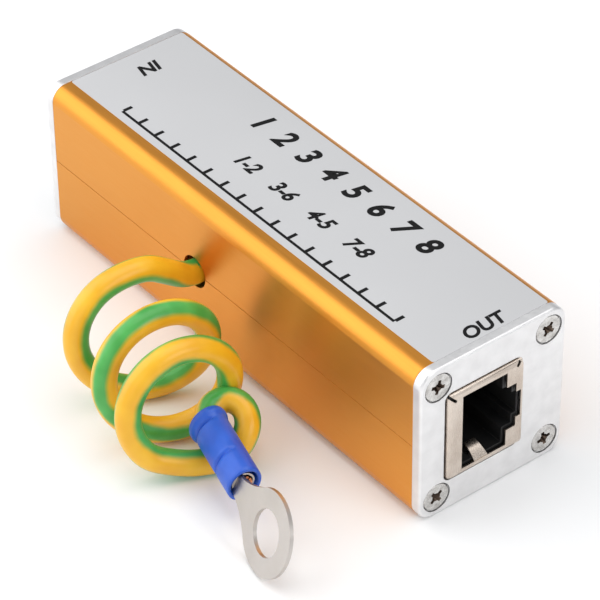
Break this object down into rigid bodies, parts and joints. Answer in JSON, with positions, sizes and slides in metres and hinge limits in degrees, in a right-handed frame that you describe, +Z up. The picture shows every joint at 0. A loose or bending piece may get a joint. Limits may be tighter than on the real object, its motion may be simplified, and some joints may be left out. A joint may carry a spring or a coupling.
{
  "type": "ethernet surge protector",
  "caption": "Inline surge protector for a wired network line: slim extruded case, shielded socket in each end plate, coiled earth lead with a ring terminal.",
  "frame": {"origin": "middle of the case's underside, the earth lead left out", "axes": "+X along the case from the IN socket to the OUT socket, +Z up through the label, -Y the side that the earth lead leaves from"},
  "size_m": [0.0884, 0.0533, 0.0262],
  "materials": {
    "gold_anodised": "anodised gold, satin",
    "satin_aluminium": "bare, fine satin",
    "screw_steel": "bright",
    "label_film": "satin grey film",
    "nickel_sheet": "nickel plated",
    "black_plastic": "black moulding",
    "contact_gold": "gold plated",
    "board_green": "green solder mask",
    "tube_ceramic": "white ceramic",
    "chip_ceramic": "dark glaze",
    "diode_epoxy": "black epoxy",
    "lead_yellow": "yellow with a green stripe",
    "copper": "bare copper",
    "sleeve_blue": "blue",
    "tinned_copper": "tinned"
  },
  "bodies": {
    "root": {"circuit_board": "board_green", "contact_in_1": "contact_gold", "contact_in_2": "contact_gold", "contact_in_3": "contact_gold", "contact_in_4": "contact_gold", "contact_in_5": "contact_gold", "contact_in_6": "contact_gold", "contact_in_7": "contact_gold", "contact_in_8": "contact_gold", "contact_out_1": "contact_gold", "contact_out_2": "contact_gold", "contact_out_3": "contact_gold", "contact_out_4": "contact_gold", "contact_out_5": "contact_gold", "contact_out_6": "contact_gold", "contact_out_7": "contact_gold", "contact_out_8": "contact_gold", "diode_array_1": "diode_epoxy", "diode_array_2": "diode_epoxy", "diode_array_3": "diode_epoxy", "diode_array_4": "diode_epoxy", "earth_core_inner": "copper", "earth_lead_coil": "lead_yellow", "earth_lead_end": "lead_yellow", "earth_lead_inner": "lead_yellow", "earth_lead_start": "lead_yellow", "end_plate_in": "satin_aluminium", "end_plate_out": "satin_aluminium", "end_screw_in_1": "screw_steel", "end_screw_in_2": "screw_steel", "end_screw_in_3": "screw_steel", "end_screw_in_4": "screw_steel", "end_screw_out_1": "screw_steel", "end_screw_out_2": "screw_steel", "end_screw_out_3": "screw_steel", "end_screw_out_4": "screw_steel", "gas_tube_1": "tube_ceramic", "gas_tube_2": "tube_ceramic", "gas_tube_3": "tube_ceramic", "gas_tube_4": "tube_ceramic", "lower_shell": "gold_anodised", "resistor_array_1": "chip_ceramic", "resistor_array_2": "chip_ceramic", "resistor_array_3": "chip_ceramic", "resistor_array_4": "chip_ceramic", "ring_terminal": "tinned_copper", "socket_insert_in": "black_plastic", "socket_insert_out": "black_plastic", "socket_shield_in": "nickel_sheet", "socket_shield_out": "nickel_sheet", "terminal_sleeve": "sleeve_blue", "top_label": "label_film", "upper_shell": "gold_anodised", "wire_strands": "copper"}
  },
  "joints": []
}
